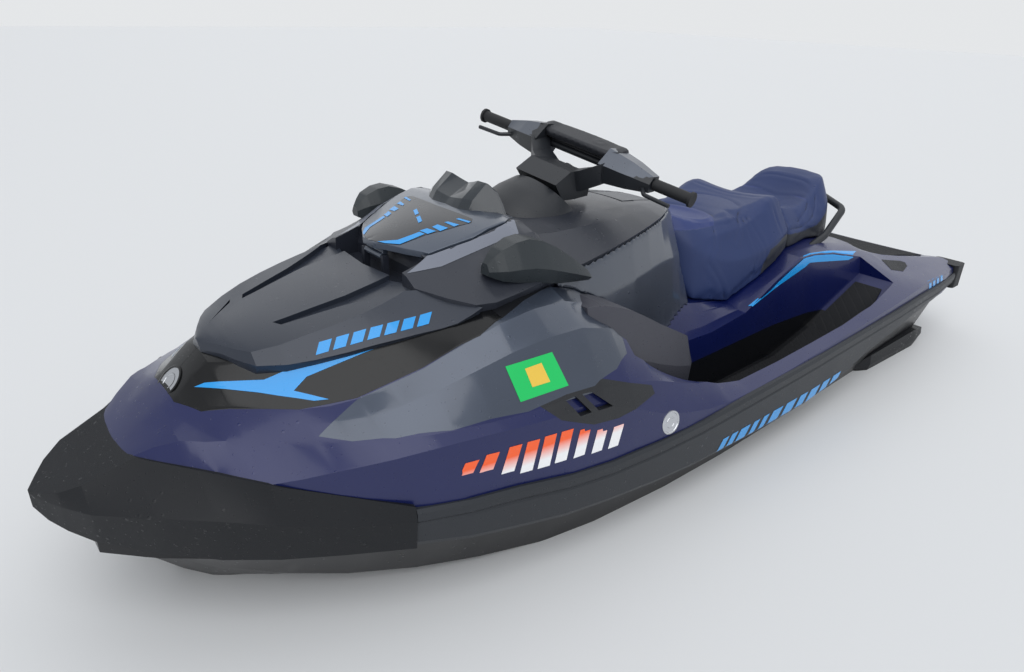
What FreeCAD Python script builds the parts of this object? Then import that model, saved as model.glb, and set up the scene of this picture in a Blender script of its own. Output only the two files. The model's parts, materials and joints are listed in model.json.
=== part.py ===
"""Three-seat touring personal watercraft, as a parametric assembly of named pieces.

Millimetres. +X points to the bow, +Y to port and +Z up. The origin lies on the waterline,
on the centreline, halfway along the craft.
"""
import FreeCAD, Part
import math
import os
from FreeCAD import Placement, Rotation, Vector

doc = FreeCAD.newDocument("personal_watercraft")
PORT, STARBOARD = 1, -1
SIDES = (("port", PORT), ("starboard", STARBOARD))
X_AXIS, Y_AXIS, Z_AXIS = Vector(1, 0, 0), Vector(0, 1, 0), Vector(0, 0, 1)

# ------------------------------------------------------------------ driving sizes
SIZES = [
    # alias, value, what it sets
    ("fit_gap", 0.3, "clearance between pieces that bear on each other"),
    ("run_gap", 6, "clearance round pieces that move"),
    ("bond_height", 205, "height of the joint between hull and deck"),
    ("rail_depth", 12, "how far the rub rail stands out from the hull"),
    ("rail_band", 36, "height of the rub rail's upper band"),
    ("bow_tuck", 30, "how much further in the deck's edge lies behind the bow bumper"),
    ("panel_thick", 18, "thickness of the deck's trim panels"),
    ("groove_depth", 13, "depth of the hood's grooves"),
    ("inlet_thick", 16, "thickness of the air inlet panels"),
    ("transom_x", -1370, "where the hull ends"),
    ("engine_long", 600, "engine block along the craft"),
    ("engine_wide", 420, "engine block across the craft"),
    ("engine_tall", 380, "engine block height"),
    ("engine_x", -120, "centre of the engine block"),
    ("engine_floor", -150, "underside of the engine block"),
    ("jet_height", -92, "height of the jet pump's axis"),
    ("jet_front", -1170, "front face of the jet pump"),
    ("pump_bore", 80, "radius of the pump's bore"),
    ("pump_wall", 7, "wall of the pump housing"),
    ("pump_long", 170, "length of the pump's straight part"),
    ("venturi_long", 140, "length of the venturi"),
    ("venturi_mouth", 42, "radius of the venturi's mouth"),
    ("nozzle_long", 125, "length of the steering nozzle"),
    ("nozzle_radius", 67, "inner radius of the steering nozzle's front"),
    ("nozzle_mouth", 44, "inner radius of the steering nozzle's mouth"),
    ("nozzle_wall", 5, "wall of the steering nozzle"),
    ("bucket_radius", 104, "inner radius of the reverse bucket"),
    ("bucket_wall", 6, "wall of the reverse bucket"),
    ("bucket_long", 205, "depth of the reverse bucket from its pivot"),
    ("bucket_swing", 62, "how far up the reverse bucket rests"),
    ("nozzle_ratio", 0.6, "turn of the nozzle for a turn of the handlebar"),
    ("pivot_pin", 7, "radius of the pivot pins at the jet"),
    ("shaft_radius", 14, "radius of the drive shaft"),
    ("hub_radius", 30, "radius of the impeller's hub"),
    ("vane_count", 5, "stator vanes behind the impeller"),
    ("blade_count", 3, "impeller blades"),
    ("blade_thick", 5, "thickness of an impeller blade"),
    ("impeller_long", 90, "length of the impeller's hub"),
    ("steer_tilt", 47, "lean of the steering axis from upright"),
    ("steer_rest", 14, "how far the bar is turned as the craft floats"),
    ("bar_x", 171, "bar centre along the craft"),
    ("bar_height", 866, "bar centre above the water"),
    ("bar_wide", 790, "handlebar from end to end"),
    ("bar_tube", 11, "radius of the handlebar tube"),
    ("grip_radius", 17, "radius of a grip"),
    ("grip_long", 125, "length of a grip"),
    ("spigot_radius", 18, "radius of the steering spigot"),
    ("hinge_pin", 5, "radius of the lids' hinge pins"),
    ("lid_thick", 16, "thickness of the front lid"),
    ("glove_thick", 12, "thickness of the glove-box lid"),
    ("lid_sweep", 48, "radius of the scoop round the front lid's hinge"),
    ("glove_sweep", 40, "radius of the scoop round the glove-box lid's hinge"),
    ("shield_thick", 6, "thickness of the windshield"),
    ("lid_hinge_x", 888, "front lid's hinge along the craft"),
    ("lid_hinge_z", 692, "front lid's hinge above the water"),
    ("glove_hinge_x", 24, "glove-box lid's hinge along the craft"),
    ("glove_hinge_z", 692, "glove-box lid's hinge above the water"),
    ("handle_tube", 14, "radius of the grab handle's tube"),
    ("mat_thick", 5, "thickness of the deck mats"),
    ("anchor_bore", 17, "radius of the cargo anchors' sockets"),
    ("ride_plate_thick", 8, "thickness of the ride plate"),
    ("grate_bar", 9, "width of an intake grate bar"),
]
sheet = doc.addObject("Spreadsheet::Sheet", "Sizes")
for row, (alias, value, meaning) in enumerate(SIZES, 1):
    sheet.set("A%d" % row, meaning)
    sheet.set("B%d" % row, str(value))
    sheet.setAlias("B%d" % row, alias)
doc.recompute()


def size(alias):
    return float(sheet.get(alias))


# ------------------------------------------------------------------ small tools
nodes = {}


def keep(label, obj):
    """Name an object as one of the craft's pieces."""
    obj.Label = label
    nodes[label] = obj
    return obj


def form(label, shape):
    """A piece whose free form is set by a function."""
    obj = doc.addObject("Part::Feature", label)
    obj.Shape = shape
    return keep(label, obj)


def primitive(kind, name, base=Vector(), axis=Z_AXIS, **bindings):
    """A Part primitive with its sizes bound to the sheet, its own Z turned to the axis."""
    obj = doc.addObject("Part::" + kind, name)
    for prop, expression in bindings.items():
        obj.setExpression(prop, expression)
    obj.Placement = Placement(base, Rotation(Z_AXIS, axis))
    return obj


def boolean(kind, name, *parts):
    """Cut, Fuse or Common of two objects, or MultiFuse of several."""
    obj = doc.addObject("Part::" + kind, name)
    if kind == "MultiFuse":
        obj.Shapes = list(parts)
    else:
        obj.Base, obj.Tool = parts
    return obj


def ring_loop(x, half, crown=None):
    """Closed section at x: half profile from top to bottom, mirrored, with an arched crown if given."""
    port = [Vector(x, y, z) for y, z in half]
    other = [Vector(x, -y, z) for y, z in half]
    edges = []
    if crown is None:
        edges.append(Part.makeLine(other[0], port[0]))
    else:
        edges.append(Part.Arc(other[0], Vector(x, 0, crown), port[0]).toShape())
    edges += [Part.makeLine(a, b) for a, b in zip(port, port[1:])]
    edges.append(Part.makeLine(port[-1], other[-1]))
    other.reverse()
    edges += [Part.makeLine(a, b) for a, b in zip(other, other[1:])]
    return Part.Wire(edges)


def side_loop(x, side, points):
    """Closed section at x of a piece on one side only."""
    corners = [Vector(x, side * y, z) for y, z in points]
    return Part.makePolygon(corners + corners[:1])


def loft(wires):
    return Part.makeLoft(wires, True, True)


def eased(rows, steps=2):
    """Rows of a table with more rows between them, on a smooth curve through the given ones."""
    eased_rows = [rows[0]]
    padded = [rows[0]] + list(rows) + [rows[-1]]
    for before, start, end, after in zip(padded, padded[1:], padded[2:], padded[3:]):
        span = start[0] - end[0]
        for step in range(1, steps):
            t = step / steps
            row = [start[0] - span * t]
            for a, b, c, d in zip(before[1:], start[1:], end[1:], after[1:]):
                slope_b = (c - a) / max(before[0] - end[0], 1) * span
                slope_c = (d - b) / max(start[0] - after[0], 1) * span
                bend = (2 * t ** 3 - 3 * t ** 2 + 1) * b + (t ** 3 - 2 * t ** 2 + t) * slope_b
                row.append(bend + (3 * t ** 2 - 2 * t ** 3) * c + (t ** 3 - t ** 2) * slope_c)
            eased_rows.append(row)
        eased_rows.append(end)
    return eased_rows


def pairs(values):
    """The (y, z) pairs held in a row after its first value."""
    return list(zip(values[::2], values[1::2]))


def plate_loop(y, points):
    """Closed section at y through (x, z) points."""
    corners = [Vector(x, y, z) for x, z in points]
    return Part.makePolygon(corners + corners[:1])


def prism(outline, low, high, side=None):
    """Upright prism over a plan outline of (x, y) corners, on one side or as given."""
    flip = side or 1
    corners = [Vector(x, flip * y, low) for x, y in outline]
    return Part.Face(Part.makePolygon(corners + corners[:1])).extrude(Vector(0, 0, high - low))


def box(x0, x1, y0, y1, z0, z1):
    return Part.makeBox(x1 - x0, y1 - y0, z1 - z0, Vector(x0, y0, z0))


def rod(start, end, radius):
    return Part.makeCylinder(radius, (end - start).Length, start, end - start)


def moved(shape, x=0, y=0, z=0):
    copy = shape.copy()
    copy.translate(Vector(x, y, z))
    return copy


def skin_of(shape, zone, depth):
    """The top layer of a shape inside an upright zone."""
    region = shape.common(zone)
    return region.cut(moved(region, z=-depth))


def mirrored(shape):
    return shape.mirror(Vector(), Y_AXIS)


def sided(shape, side):
    return shape if side == PORT else mirrored(shape)


def tube(points, radius, bend):
    """Round bar along straight runs joined by tangent arcs."""
    edges, start = [], points[0]
    for before, corner, after in zip(points, points[1:], points[2:]):
        to_start = (before - corner).normalize()
        to_end = (after - corner).normalize()
        turn = math.pi - to_start.getAngle(to_end)
        reach = bend * math.tan(turn / 2)
        enter, leave = corner + to_start * reach, corner + to_end * reach
        middle = (to_start + to_end).normalize()
        depth = bend / math.cos(turn / 2) - bend
        edges.append(Part.makeLine(start, enter))
        edges.append(Part.Arc(enter, corner + middle * depth, leave).toShape())
        start = leave
    edges.append(Part.makeLine(start, points[-1]))
    path = Part.Wire(edges)
    first = (points[1] - points[0]).normalize()
    ring = Part.Wire(Part.makeCircle(radius, points[0], first))
    return path.makePipeShell([ring], True, False)


# ------------------------------------------------------------------ lines of the hull and deck
BOND = size("bond_height")
RAIL = size("rail_depth")
TRANSOM = size("transom_x")
# Half beam over the rub rail, from the bow aft: x, half_beam
PLAN = [(1725, 0), (1650, 140), (1550, 245), (1400, 365), (1200, 462), (1000, 533), (700, 590),
        (300, 620), (-300, 627), (-1000, 610), (-1500, 580), (-1725, 545)]


def half_beam(x):
    for (x1, y1), (x0, y0) in zip(PLAN, PLAN[1:]):
        if x0 <= x <= x1:
            return y0 + (y1 - y0) * (x - x0) / (x1 - x0)
    return PLAN[-1][1]


def side_of(x):
    """Half beam of the hull and deck inside the rail, tucked further in behind the bow bumper."""
    tuck = min(max((x - 1080) / 400, 0), 1)
    return half_beam(x) - RAIL - size("bow_tuck") * tuck


# Hull: x, keel_z, strake (y, z), chine (y, z)
HULL_LINES = [
    (1640, 188, 8, 193, 16, 199),
    (1600, 150, 24, 166, 48, 188),
    (1540, 70, 62, 108, 116, 160),
    (1430, -50, 108, 22, 214, 118),
    (1200, -150, 178, -46, 345, 64),
    (900, -200, 236, -96, 452, 22),
    (548, -228, 272, -130, 516, -12),
    (0, -238, 280, -142, 534, -28),
    (-900, -236, 270, -142, 511, -30),
    (TRANSOM, -232, 266, -140, 504, -34),
]
# Deck: x, crown_z, hood seat (y, z), rim (y, z), shoulder (y, z), lower edge (y, z), crease (y, z), rail_z
DECK_LINES = [
    (1640, 330, 20, 329, 30, 328, 40, 326, 50, 324, 60, 320, 290),
    (1546, 412, 40, 411, 70, 410, 96, 408, 110, 406, 118, 400, 340),
    (1462, 468, 50, 467, 98, 458, 140, 452, 176, 446, 214, 400, 326),
    (1421, 494, 62, 490, 118, 472, 166, 455, 208, 444, 264, 394, 320),
    (1352, 556, 66, 548, 168, 486, 210, 468, 254, 446, 350, 388, 318),
    (1237, 580, 178, 546, 262, 480, 296, 462, 332, 440, 414, 405, 312),
    (1127, 592, 240, 562, 316, 492, 366, 472, 424, 440, 460, 414, 292),
    (993, 602, 296, 588, 372, 548, 424, 515, 478, 440, 506, 426, 285),
    (811, 618, 352, 628, 408, 618, 458, 566, 520, 440, 540, 420, 266),
    (600, 600, 350, 642, 402, 622, 468, 574, 548, 446, 566, 404, 250),
    (400, 575, 300, 560, 372, 540, 440, 500, 552, 400, 590, 320, 248),
    (200, 480, 225, 470, 243, 430, 262, 380, 552, 326, 603, 268, 248),
    (0, 430, 215, 425, 238, 366, 262, 300, 534, 282, 606, 256, 247),
    (-400, 320, 215, 318, 245, 316, 280, 306, 540, 290, 610, 274, 262),
    (-738, 430, 200, 440, 245, 442, 300, 440, 545, 318, 604, 286, 270),
    (-1127, 425, 230, 430, 290, 424, 345, 404, 500, 340, 594, 300, 272),
    (-1260, 330, 250, 335, 320, 352, 384, 372, 490, 330, 586, 304, 272),
    (-1500, 300, 320, 305, 376, 318, 430, 330, 510, 306, 570, 292, 268),
    (-1690, 285, 400, 290, 436, 296, 470, 300, 506, 290, 544, 276, 260),
]


def hull_section(x, keel, strake_y, strake_z, chine_y, chine_z):
    half = [(max(side_of(x), chine_y + 4), BOND), (chine_y, chine_z), (chine_y - 14, chine_z - 10),
            (strake_y, strake_z), (strake_y - 8, strake_z - 9), (1.0, keel)]
    return ring_loop(x, half)


def deck_section(x, crown, *points_and_rail):
    *points, rail_z = points_and_rail
    edge = side_of(x)
    half = [(min(y, edge - 4), z) for y, z in pairs(points)]
    return ring_loop(x, half + [(edge, rail_z), (edge, BOND)], crown)


hull = loft([hull_section(*row) for row in eased(HULL_LINES)])
deck = loft([deck_section(*row) for row in eased(DECK_LINES)])

# ------------------------------------------------------------------ footwells, bins and engine bay
# Footwell: x, floor_z, inner_y, outer_y
FOOTWELL = [(430, 110, 330, 470), (250, 92, 335, 520), (0, 84, 335, 545), (-600, 84, 325, 552),
            (-820, 150, 335, 545), (-1080, 330, 385, 520)]
WELL_TOP, WELL_FLARE = 520, 34


def footwell_section(x, floor, inner, outer, side):
    return side_loop(x, side, [(inner, floor), (outer, floor), (outer + WELL_FLARE, WELL_TOP),
                               (inner - WELL_FLARE, WELL_TOP)])


wells = []
for name, side in SIDES:
    wells.append(loft([footwell_section(*row, side) for row in FOOTWELL[:4]]))
    wells.append(loft([footwell_section(*row, side) for row in FOOTWELL[3:]]))

bay_gap = size("run_gap")
ex, ez = size("engine_x"), size("engine_floor")
el, ew, et = size("engine_long") / 2, size("engine_wide") / 2, size("engine_tall")
bay = box(ex - el - bay_gap, ex + el + bay_gap, -ew - bay_gap, ew + bay_gap, ez, ez + et + bay_gap)

# Jet tunnel under the stern, and the sloping intake duct ahead of it
jet_z, jet_x = size("jet_height"), size("jet_front")
bore, wall = size("pump_bore"), size("pump_wall")
tunnel_half = bore + wall + 12
tunnel = rod(Vector(TRANSOM - 40, 0, jet_z), Vector(jet_x + 5, 0, jet_z), tunnel_half)
tunnel_foot = box(TRANSOM - 40, jet_x + 5, -tunnel_half, tunnel_half, -320, jet_z)
DUCT = [(jet_x + 4, -320), (jet_x + 4, jet_z + bore), (jet_x + 90, jet_z + bore - 12), (jet_x + 200,
                                                                                        jet_z + 8),
        (jet_x + 480, -262), (jet_x + 480, -320)]
duct = Part.Face(plate_loop(-bore, DUCT)).extrude(Vector(0, 2 * bore, 0))
hull = hull.cut(wells + [bay, tunnel, tunnel_foot, duct])
deck = deck.cut(wells + [bay])
engine = primitive("Box", "engine_block", Vector(ex - el, -ew, ez),
                   Length="Sizes.engine_long", Width="Sizes.engine_wide", Height="Sizes.engine_tall")
keep("engine", engine)

# Bin under the front lid and bin under the glove-box lid, as plan corners (x, y)
FRONT_BIN = [(790, -135), (640, -165), (640, 165), (790, 135)]
GLOVE_BIN = [(12, -58), (-110, -48), (-110, 48), (12, 58)]
front_bin = prism(FRONT_BIN, 420, 900)
glove_bin = prism(GLOVE_BIN, 560, 900)
deck = deck.cut(front_bin)

# ------------------------------------------------------------------ bow bumper, rails and corners
# Bumper: x, top edge (y, z), knuckle (y, z), lip (y, z)
BUMPER = [
    (1724, 4, 338, 6, 332, 4, 300),
    (1706, 34, 346, 38, 328, 32, 274),
    (1680, 74, 356, 84, 326, 72, 258),
    (1640, 104, 374, 146, 326, 126, 243),
    (1540, 125, 410, 250, 333, 222, 224),
    (1450, 236, 402, 325, 329, 297, 211),
    (1352, 358, 391, 386, 308, 362, 203),
    (1237, 420, 350, 443, 282, 428, 198),
    (1101, 495, 301, 500, 264, 494, 188),
]
# Rail: x, top_z, foot_z
RAIL_LINES = [(1099, 292, 188), (860, 278, 152), (588, 250, 122), (243, 250, 100), (-353, 266, 92),
              (-640, 270, 118), (-791, 272, 150), (-1200, 274, 186), (-1640, 262, 205)]
bumper = loft([ring_loop(x, pairs(points)) for x, *points in BUMPER])
form("bow_bumper", bumper.cut([deck, hull]))


def rail_section(x, top, foot, side):
    out = half_beam(x)
    groove = top - size("rail_band")
    return side_loop(x, side, [(out - 62, top), (out - 5, top), (out, top - 10), (out, groove + 6),
                               (out - 5, groove),
                               (out - 2, groove - 6), (out - 8, foot + 14), (out - 16, foot), (out - 62,
                                                                                               foot)])


for name, side in SIDES:
    band = loft([rail_section(*row, side) for row in eased(RAIL_LINES)])
    form("rail_" + name, band.cut([deck, hull]))
corner_block = box(-1725, -1642, 440, 560, 190, 292)
corner_block = corner_block.makeFillet(18, [e for e in corner_block.Edges if e.BoundBox.ZLength > 50])
for name, side in SIDES:
    form("stern_corner_" + name, sided(corner_block, side).cut(deck))

# ------------------------------------------------------------------ hood and its side panels
# Hood: x, crown_z, crease (y, z), lip (y, z), skirt (y, z)
HOOD = [(1350, 580, 10, 574, 24, 562, 18, 520), (1325, 591, 62, 583, 78, 566, 62, 522),
        (1281, 604, 142, 582, 164, 557, 146, 512), (1174, 622, 190, 611, 229, 566, 208, 520),
        (1050, 648, 214, 637, 281, 588, 258, 542), (950, 664, 212, 660, 316, 602, 292, 556),
        (880, 676, 202, 680, 345, 616, 322, 570), (810, 684, 195, 686, 357, 647, 336, 590)]
HOOD_REAR = [(924, 0), (915, 120), (889, 205), (818, 356), (780, 420), (700, 420), (700, 0)]
HOOD_GROOVE = [(1206, 88), (1196, 112), (1060, 152), (862, 244), (862, 112), (1040, 116)]
HOOD_SLOT = [(1308, 30), (1292, 46), (1226, 116), (1234, 96)]
groove_depth = size("groove_depth")
hood = loft([ring_loop(x, pairs(points), crown) for x, crown, *points in eased(HOOD)])
hood = hood.cut([skin_of(hood, prism(HOOD_GROOVE, 500, 760, side), groove_depth) for name, side in SIDES]
                + [prism(HOOD_REAR, 400, 800, side) for name, side in SIDES] + [prism(HOOD_SLOT, 575, 700,
                                                                                      STARBOARD)])
VENT = [(1434, 0), (1434, 70), (1400, 138), (1342, 184), (1237, 262), (1127, 314), (993, 370), (860, 400),
        (790, 392),
        (790, 330), (1000, 240), (1200, 130), (1340, 0)]
FENDER = [(1230, 330), (1180, 382), (1105, 431), (993, 477), (811, 519), (719, 530), (620, 541), (530, 528),
          (462, 500), (440, 452), (300, 330),
          (200, 262), (200, 240), (430, 300), (790, 394), (860, 402), (993, 372), (1127, 316)]
thick = size("panel_thick")
vents, fenders = {}, {}
for name, side in SIDES:
    vents[name] = skin_of(deck, prism(VENT, 300, 900, side), thick)
    fenders[name] = skin_of(deck, prism(FENDER, 300, 900, side), thick)
panels = list(vents.values()) + list(fenders.values())
deck = deck.cut(panels)
shell = deck.fuse(panels)
for name, side in SIDES:
    form("vent_panel_" + name, vents[name])
    form("fender_" + name, fenders[name])

# ------------------------------------------------------------------ leg shroud, console and front lid
# Leg shroud, the grey saddle under the console: x, top (y, z), side (y, z), foot (y, z)
SHROUD = [(560, 330, 650, 362, 560, 350, 430), (430, 306, 655, 332, 560, 332, 400), (200, 260, 672, 290,
                                                                                     560, 302, 330),
          (0, 200, 685, 238, 560, 264, 320), (-120, 132, 690, 200, 545, 240, 335), (-186, 104, 640, 150,
                                                                                    520, 226, 345)]
# Console: x, crown_z, lid edge (y, z), facet (y, z), seam (y, z), base (y, z)
CONSOLE = [(912, 728, 100, 708, 184, 687, 218, 668, 206, 596), (828, 750, 160, 722, 210, 702, 345, 648, 330,
                                                                592),
           (735, 774, 190, 757, 240, 735, 364, 655, 345, 592), (641, 790, 209, 782, 254, 755, 356, 664, 335,
                                                                600),
           (576, 780, 200, 772, 250, 755, 342, 664, 322, 615), (552, 752, 190, 746, 244, 742, 334, 664, 317,
                                                                622),
           (430, 744, 170, 738, 224, 728, 309, 662, 296, 635), (200, 738, 136, 729, 188, 714, 262, 678, 250,
                                                                650),
           (0, 716, 112, 712, 150, 704, 202, 690, 190, 660),
           (-122, 698, 92, 693, 110, 690, 132, 686, 122, 664)]
console = loft([ring_loop(x, pairs(points), crown) for x, crown, *points in eased(CONSOLE)])
shroud = loft([ring_loop(x, pairs(points)) for x, *points in eased(SHROUD)])
LID = [(906, 26), (866, 102), (830, 158), (728, 202), (636, 212), (572, 172)]
GLOVE = [(40, 74), (-116, 58)]
RECESS_BACK = 846
lid_thick, gap = size("lid_thick"), size("run_gap")


def both_sides(half, margin=0):
    """Plan outline from its port half, grown by a margin."""
    port = [(x + (margin if x > half[-1][0] else -margin), y + margin) for x, y in half]
    return port + [(x, -y) for x, y in reversed(port)]


lid_shell = skin_of(console, prism(both_sides(LID), 600, 950), lid_thick)
glove_lid = skin_of(console, prism(both_sides(GLOVE), 620, 900), size("glove_thick"))
lid_room = skin_of(console, prism(both_sides(LID, gap), 600, 950), lid_thick + gap)
glove_room = skin_of(console, prism(both_sides(GLOVE, gap), 620, 900), size("glove_thick") + 2)


def hinge(x, z, post_foot, half, reach):
    """The fixed posts with their pin, and the barrel that turns on it."""
    pin = size("hinge_pin")
    pin_rod = rod(Vector(x, -half - 14, z), Vector(x, half + 14, z), pin)
    posts = [box(x - 8, x + 8, side * (half + 7) - 6, side * (half + 7) + 6, post_foot, z + pin) for name,
             side in SIDES]
    barrel = rod(Vector(x, -half, z), Vector(x, half, z), pin + 4)
    web = box(x - 14, x, -half, half, z, z + reach)
    bore_rod = rod(Vector(x, -half - 20, z), Vector(x, half + 20, z), pin + size("fit_gap"))
    return pin_rod.fuse(posts), barrel.fuse(web).cut(bore_rod)


hinge_x, hinge_z = size("lid_hinge_x"), size("lid_hinge_z")
glove_x, glove_z = size("glove_hinge_x"), size("glove_hinge_z")
front_posts, front_barrel = hinge(hinge_x, hinge_z, 560, 40, 34)
glove_posts, glove_barrel = hinge(glove_x, glove_z, 600, 22, 20)
# Room for each lid's front edge to swing down as its rear lifts
front_scoop = rod(Vector(hinge_x, -166, hinge_z), Vector(hinge_x, 166, hinge_z), size("lid_sweep"))
front_scoop = front_scoop.fuse(box(RECESS_BACK, 940, -166, 166, 640, 800))
glove_scoop = rod(Vector(glove_x, -82, glove_z), Vector(glove_x, 82, glove_z), size("glove_sweep"))
console = console.cut([lid_room, glove_room, front_scoop, glove_scoop, prism(FRONT_BIN, 420, 950), glove_bin])
hood = hood.cut(shell)
form("hood", hood)
console = console.fuse(front_posts).cut([shell, hood])
form("console", console)
form("leg_shroud", shroud.cut([console, glove_room, glove_scoop, glove_bin]).fuse(glove_posts).cut(shell))
lid_shell = lid_shell.fuse(front_barrel.cut(moved(lid_shell, z=1)))
form("front_lid", lid_shell)
form("glove_lid", glove_lid.fuse(glove_barrel.cut(moved(glove_lid, z=1))))

# Windshield, a smoked sheet with two humps: y, foot (x, z), bulge (x, z), top (x, z)
SHIELD = [(0, 688, 768, 654, 802, 592, 833), (30, 686, 768, 656, 806, 598, 841), (58, 682, 768, 656, 810,
                                                                                  604, 850),
          (90, 670, 768, 646, 810, 600, 849), (118, 654, 768, 630, 802, 592, 832), (140, 636, 768, 616, 788,
                                                                                    590, 804),
          (160, 612, 766, 602, 774, 594, 780)]
shield_thick = size("shield_thick")


def shield_section(y, *points):
    front = pairs(points)
    return plate_loop(y, front + [(x - shield_thick, z - shield_thick / 2) for x, z in reversed(front)])


shield = loft([shield_section(-y, *points) for y, *points in SHIELD[:0:-1]]
              + [shield_section(y, *points) for y, *points in SHIELD])
form("windshield", shield.cut([lid_shell, moved(lid_shell, z=-lid_thick)]))
display = box(582, 602, -62, 62, 774, 818)
display.rotate(Vector(592, 0, 790), Y_AXIS, 18)
form("display", display.cut([lid_shell, nodes["windshield"].Shape]))

# ------------------------------------------------------------------ mirrors, knee pods and inlets
# Mirror pod: x, inner_y, outer_y, low_z, high_z
MIRROR = [(774, 292, 324, 698, 726), (742, 274, 356, 684, 758), (668, 268, 372, 668, 775), (578, 276, 374,
                                                                                            648, 738),
          (470, 314, 366, 634, 660)]
# Knee pod: x, inner_y, outer_y, low_z, high_z
KNEE = [(546, 352, 450, 405, 598), (500, 345, 470, 345, 600), (390, 335, 472, 300, 558), (250, 322, 462,
                                                                                          250, 478),
        (90, 315, 440, 212, 392), (64, 322, 425, 235, 368)]
# Inlet panel and its two slots, seen from the side: x, z
INLET = [(786, 452), (700, 462), (590, 462), (420, 396), (414, 374), (560, 358), (640, 366), (735, 406)]
SLOTS = [[(712, 444), (682, 446), (646, 400), (680, 400)], [(662, 446), (634, 444), (578, 396), (624, 398)]]


def mirror_section(x, inner, outer, low, high, side):
    wide, tall = outer - inner, high - low
    return side_loop(x, side, [(inner, low), (inner + 0.8 * wide, low), (outer, low + 0.4 * tall),
                               (inner + 0.7 * wide, high), (inner + 0.2 * wide, high), (inner,
                                                                                        low + 0.6 * tall)])


def knee_section(x, inner, outer, low, high, side):
    return side_loop(x, side, [(inner, low), (outer - 14, low), (outer, low + 0.12 * (high - low)),
                               (outer + 4, 0.5 * (low + high)),
                               (outer - 22, high), (inner, high)])


def side_zone(outline, side):
    """Zone beside the craft, over an outline seen from the side."""
    return Part.Face(plate_loop(side * 470, outline)).extrude(Vector(0, side * 160, 0))


inlets = {}
for name, side in SIDES:
    pod = loft([mirror_section(*row, side) for row in eased(MIRROR)])
    form("mirror_" + name, pod.cut([console, nodes["leg_shroud"].Shape]))
    pod = loft([knee_section(*row, side) for row in eased(KNEE)])
    form("knee_pod_" + name, pod.cut([shell, console, nodes["leg_shroud"].Shape]))
    inlet = deck.common(side_zone(INLET, side))
    inlets[name] = inlet.cut(moved(inlet, y=-side * size("inlet_thick")))
deck = deck.cut(list(inlets.values()))
for name, side in SIDES:
    form("inlet_panel_" + name, inlets[name].cut([side_zone(slot, side) for slot in SLOTS]))

# ------------------------------------------------------------------ seats and grab handle
# Seat: x, crown_z, shoulder (y, z), side (y, z), foot (y, z)
FRONT_SEAT = [(-192, 655, 60, 652, 96, 600, 110, 470), (-240, 632, 108, 634, 160, 540, 190, 350),
              (-340, 603, 145, 612, 205, 480, 225, 308), (-480, 598, 165, 610, 232, 470, 245, 300),
              (-620, 622, 180, 646, 242, 500, 252, 330), (-710, 636, 176, 652, 236, 520, 244, 400),
              (-768, 606, 160, 620, 220, 520, 228, 436)]
REAR_SEAT = [(-778, 585, 158, 600, 215, 520, 224, 440), (-880, 556, 155, 572, 212, 500, 220, 436),
             (-1000, 566, 150, 590, 205, 520, 215, 432), (-1085, 640, 135, 646, 190, 560, 205, 430),
             (-1155, 674, 110, 664, 156, 570, 172, 460), (-1204, 640, 84, 630, 122, 560, 132, 500)]


def seat(lines):
    return loft([ring_loop(x, pairs(points), crown) for x, crown, *points in eased(lines)])


fit = size("fit_gap")
carriers = [moved(part, x=shift_x, z=shift_z) for part, shift_x, shift_z in
            ((deck, 0, fit), (console, -fit, 0), (nodes["leg_shroud"].Shape, -fit, 0), (fenders["port"], 0,
                                                                                        fit),
             (fenders["starboard"], 0, fit))]
form("driver_seat", seat(FRONT_SEAT).cut(carriers))
form("passenger_seat", seat(REAR_SEAT).cut(carriers[0]))
tube_r = size("handle_tube")
HANDLE = [(-870, 245, 425), (-1000, 250, 466), (-1180, 218, 540), (-1246, 92, 560)]
handle_path = [Vector(*p) for p in HANDLE] + [Vector(x, -y, z) for x, y, z in reversed(HANDLE)]
handle = tube(handle_path, tube_r, 60)


def square_at(x, y, z, half_x, half_y):
    corners = [(x - half_x, y - half_y), (x + half_x, y - half_y), (x + half_x, y + half_y), (x - half_x,
                                                                                              y + half_y)]
    return Part.makePolygon([Vector(a, b, z) for a, b in corners + corners[:1]])


legs = [loft([square_at(-1236, side * 98, 300, 18, 25), square_at(-1247, side * 92, 562, 11, 13)]) for name,
        side in SIDES]
form("grab_handle", handle.fuse(legs).cut(deck))

# ------------------------------------------------------------------ mats and cargo anchors
mat = size("mat_thick")
REAR_MAT = [(-1262, -300), (-1660, -395), (-1660, 395), (-1262, 300), (-1330, 60), (-1330, -60)]
FOOT_MAT = [(240, 348), (0, 350), (-600, 345), (-820, 352), (-1040, 395), (-1040, 500), (-820, 530), (-600,
                                                                                                      536),
            (0, 528), (240, 505)]
ANCHORS = [(-1360, 200), (-1360, -200)]
socket_r, cup_r = size("anchor_bore"), 32
mat_zone = deck.common(prism(REAR_MAT, 200, 400))
rear_mat = moved(mat_zone, z=mat).cut([mat_zone, nodes["grab_handle"].Shape]
                                      + [rod(Vector(x, y, 200), Vector(x, y, 500), cup_r + 2) for x,
                                         y in ANCHORS])
form("rear_mat", rear_mat)
deck = deck.cut([rod(Vector(x, y, 250), Vector(x, y, 500), cup_r) for x, y in ANCHORS])
cups = [rod(Vector(x, y, 250), Vector(x, y, 322), cup_r).cut(rod(Vector(x, y, 272), Vector(x, y, 400),
                                                                 socket_r))
        for x, y in ANCHORS]
form("cargo_anchors", Part.makeCompound(cups))
for name, side in SIDES:
    carrier = hull.fuse(deck).common(prism(FOOT_MAT, -40, 360, side))
    form("foot_mat_" + name, moved(carrier, z=mat).cut(carrier))

# ------------------------------------------------------------------ steering column and handlebar
tilt = math.radians(size("steer_tilt"))
steer_axis = Vector(-math.sin(tilt), 0, math.cos(tilt))
bar_centre = Vector(size("bar_x"), 0, size("bar_height"))


def along_steer(distance):
    """Point on the steering axis, measured up from the bar's centre."""
    return bar_centre + steer_axis * distance


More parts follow.
